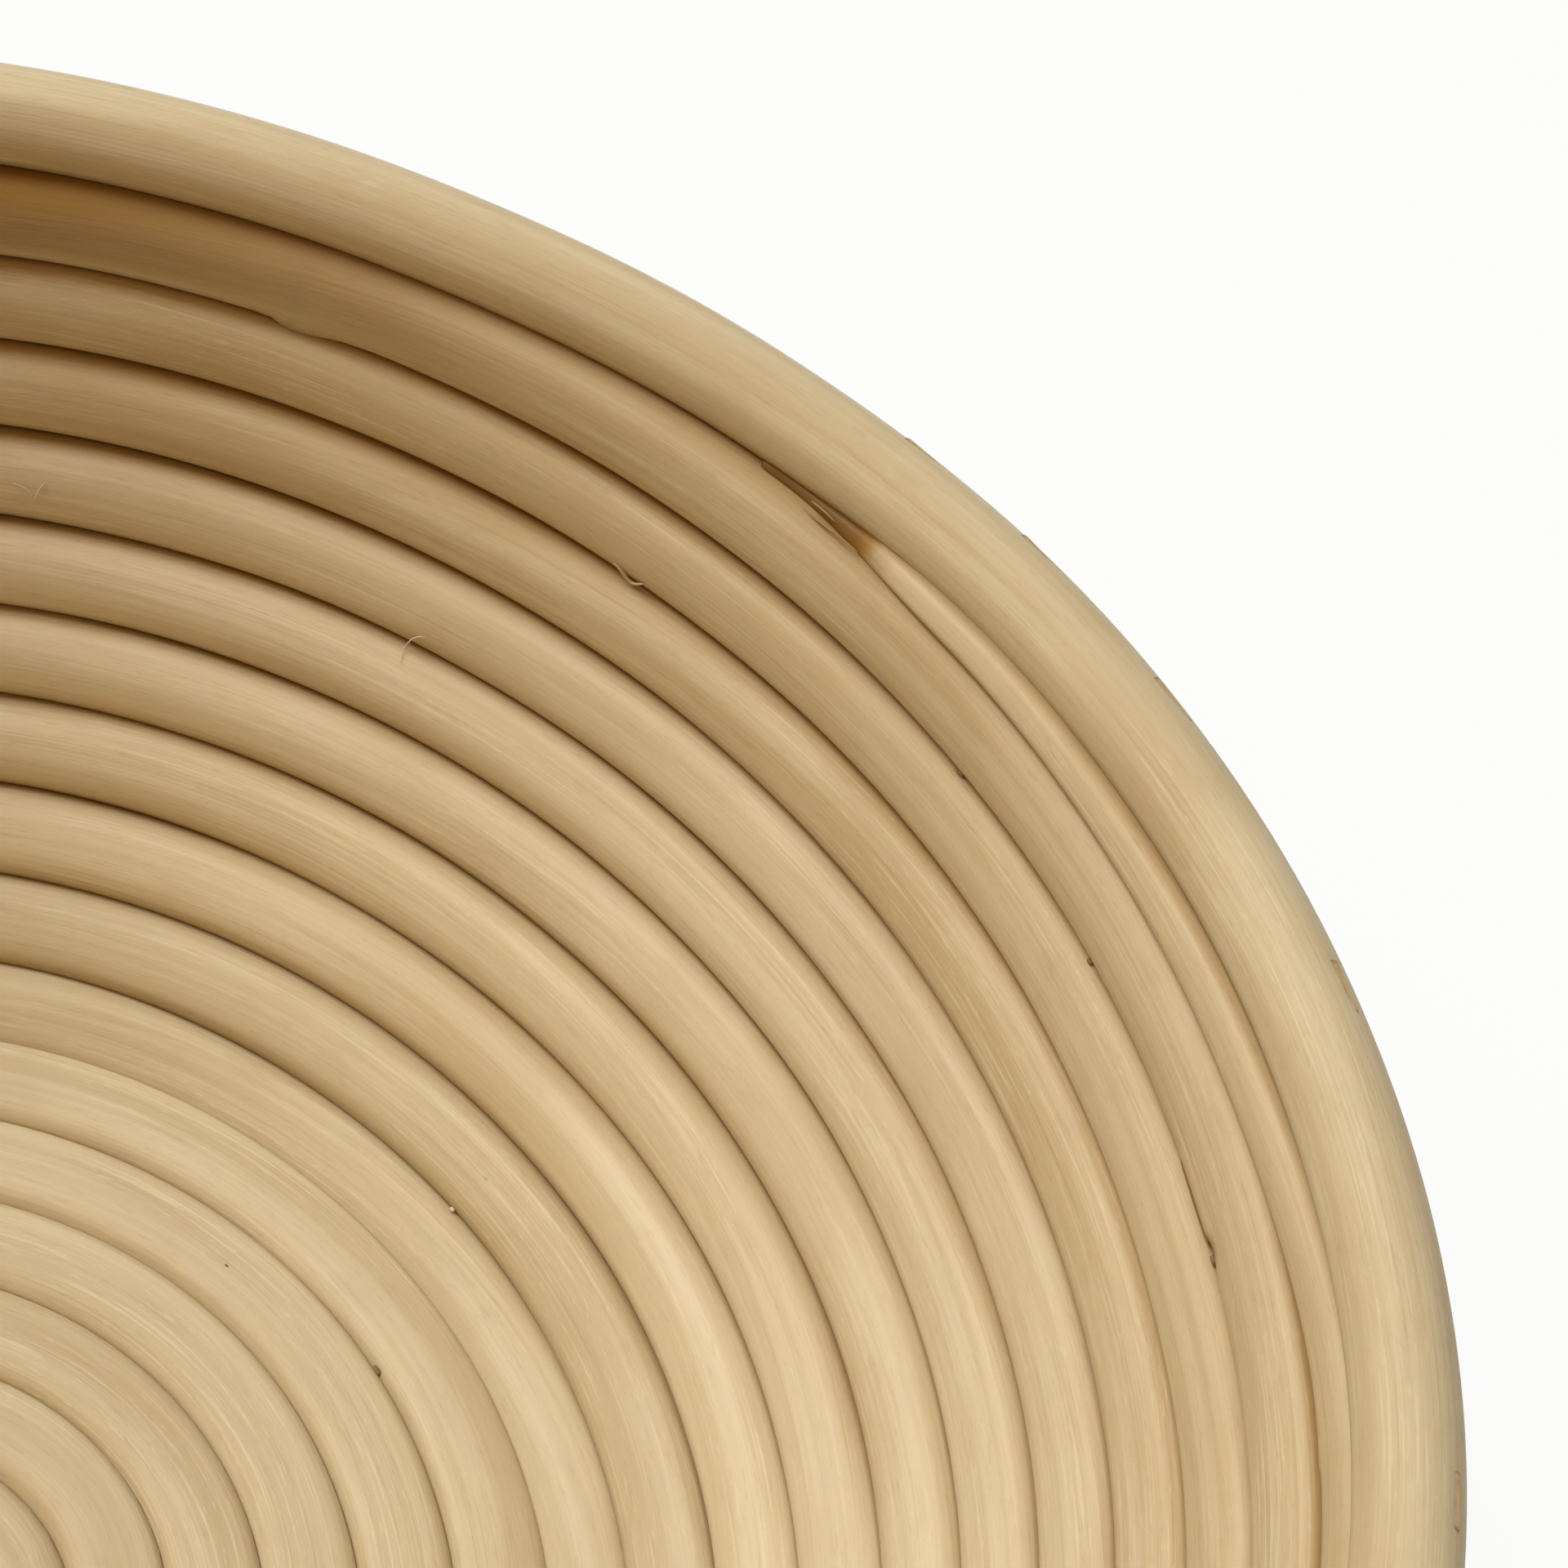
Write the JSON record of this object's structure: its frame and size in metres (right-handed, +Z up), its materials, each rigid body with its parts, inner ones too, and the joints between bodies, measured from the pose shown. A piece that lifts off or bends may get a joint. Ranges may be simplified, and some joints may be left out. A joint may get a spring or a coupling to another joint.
{
  "type": "bread proofing basket",
  "caption": "Round coiled-cane basket with a flat floor, a flared ribbed wall and a thicker stapled rim, for shaping and proofing bread dough.",
  "frame": {"origin": "on the basket's axis, in the plane that the worn undersides of the floor canes stand on", "axes": "+Z up out of the basket's mouth; +X and +Y in the plane it stands on, with the tapered end of the coil 59.5 degrees round from +X"},
  "size_m": [0.2504, 0.2504, 0.0845],
  "materials": {
    "coil_cane": "bare round core cane, satin, with fine lengthwise grain",
    "rim_cane": "bare round core cane, sanded smooth and paler than the wall",
    "staple_wire": "galvanised flat staple wire, dulled"
  },
  "bodies": {
    "root": {"floor_cane": "coil_cane", "foot_wall_cane": "coil_cane", "lower_wall_cane": "coil_cane", "middle_wall_cane": "coil_cane", "upper_wall_cane": "coil_cane", "top_wall_cane": "coil_cane", "rim_cane": "rim_cane", "coil_staple_01": "staple_wire", "coil_staple_02": "staple_wire", "coil_staple_03": "staple_wire", "coil_staple_04": "staple_wire", "coil_staple_05": "staple_wire", "coil_staple_06": "staple_wire", "coil_staple_07": "staple_wire", "coil_staple_08": "staple_wire", "coil_staple_09": "staple_wire", "coil_staple_10": "staple_wire", "coil_staple_11": "staple_wire", "coil_staple_12": "staple_wire", "coil_staple_13": "staple_wire", "coil_staple_14": "staple_wire", "coil_staple_15": "staple_wire", "coil_staple_16": "staple_wire", "coil_staple_17": "staple_wire", "coil_staple_18": "staple_wire", "coil_staple_19": "staple_wire", "coil_staple_20": "staple_wire", "coil_staple_21": "staple_wire", "coil_staple_22": "staple_wire", "coil_staple_23": "staple_wire", "coil_staple_24": "staple_wire", "coil_staple_25": "staple_wire", "coil_staple_26": "staple_wire", "rim_staple_01": "staple_wire", "rim_staple_02": "staple_wire", "rim_staple_03": "staple_wire", "rim_staple_04": "staple_wire", "rim_staple_05": "staple_wire", "rim_staple_06": "staple_wire", "rim_staple_07": "staple_wire", "rim_staple_08": "staple_wire", "rim_staple_09": "staple_wire", "rim_staple_10": "staple_wire", "rim_staple_11": "staple_wire", "rim_staple_12": "staple_wire", "rim_staple_13": "staple_wire"}
  },
  "joints": []
}
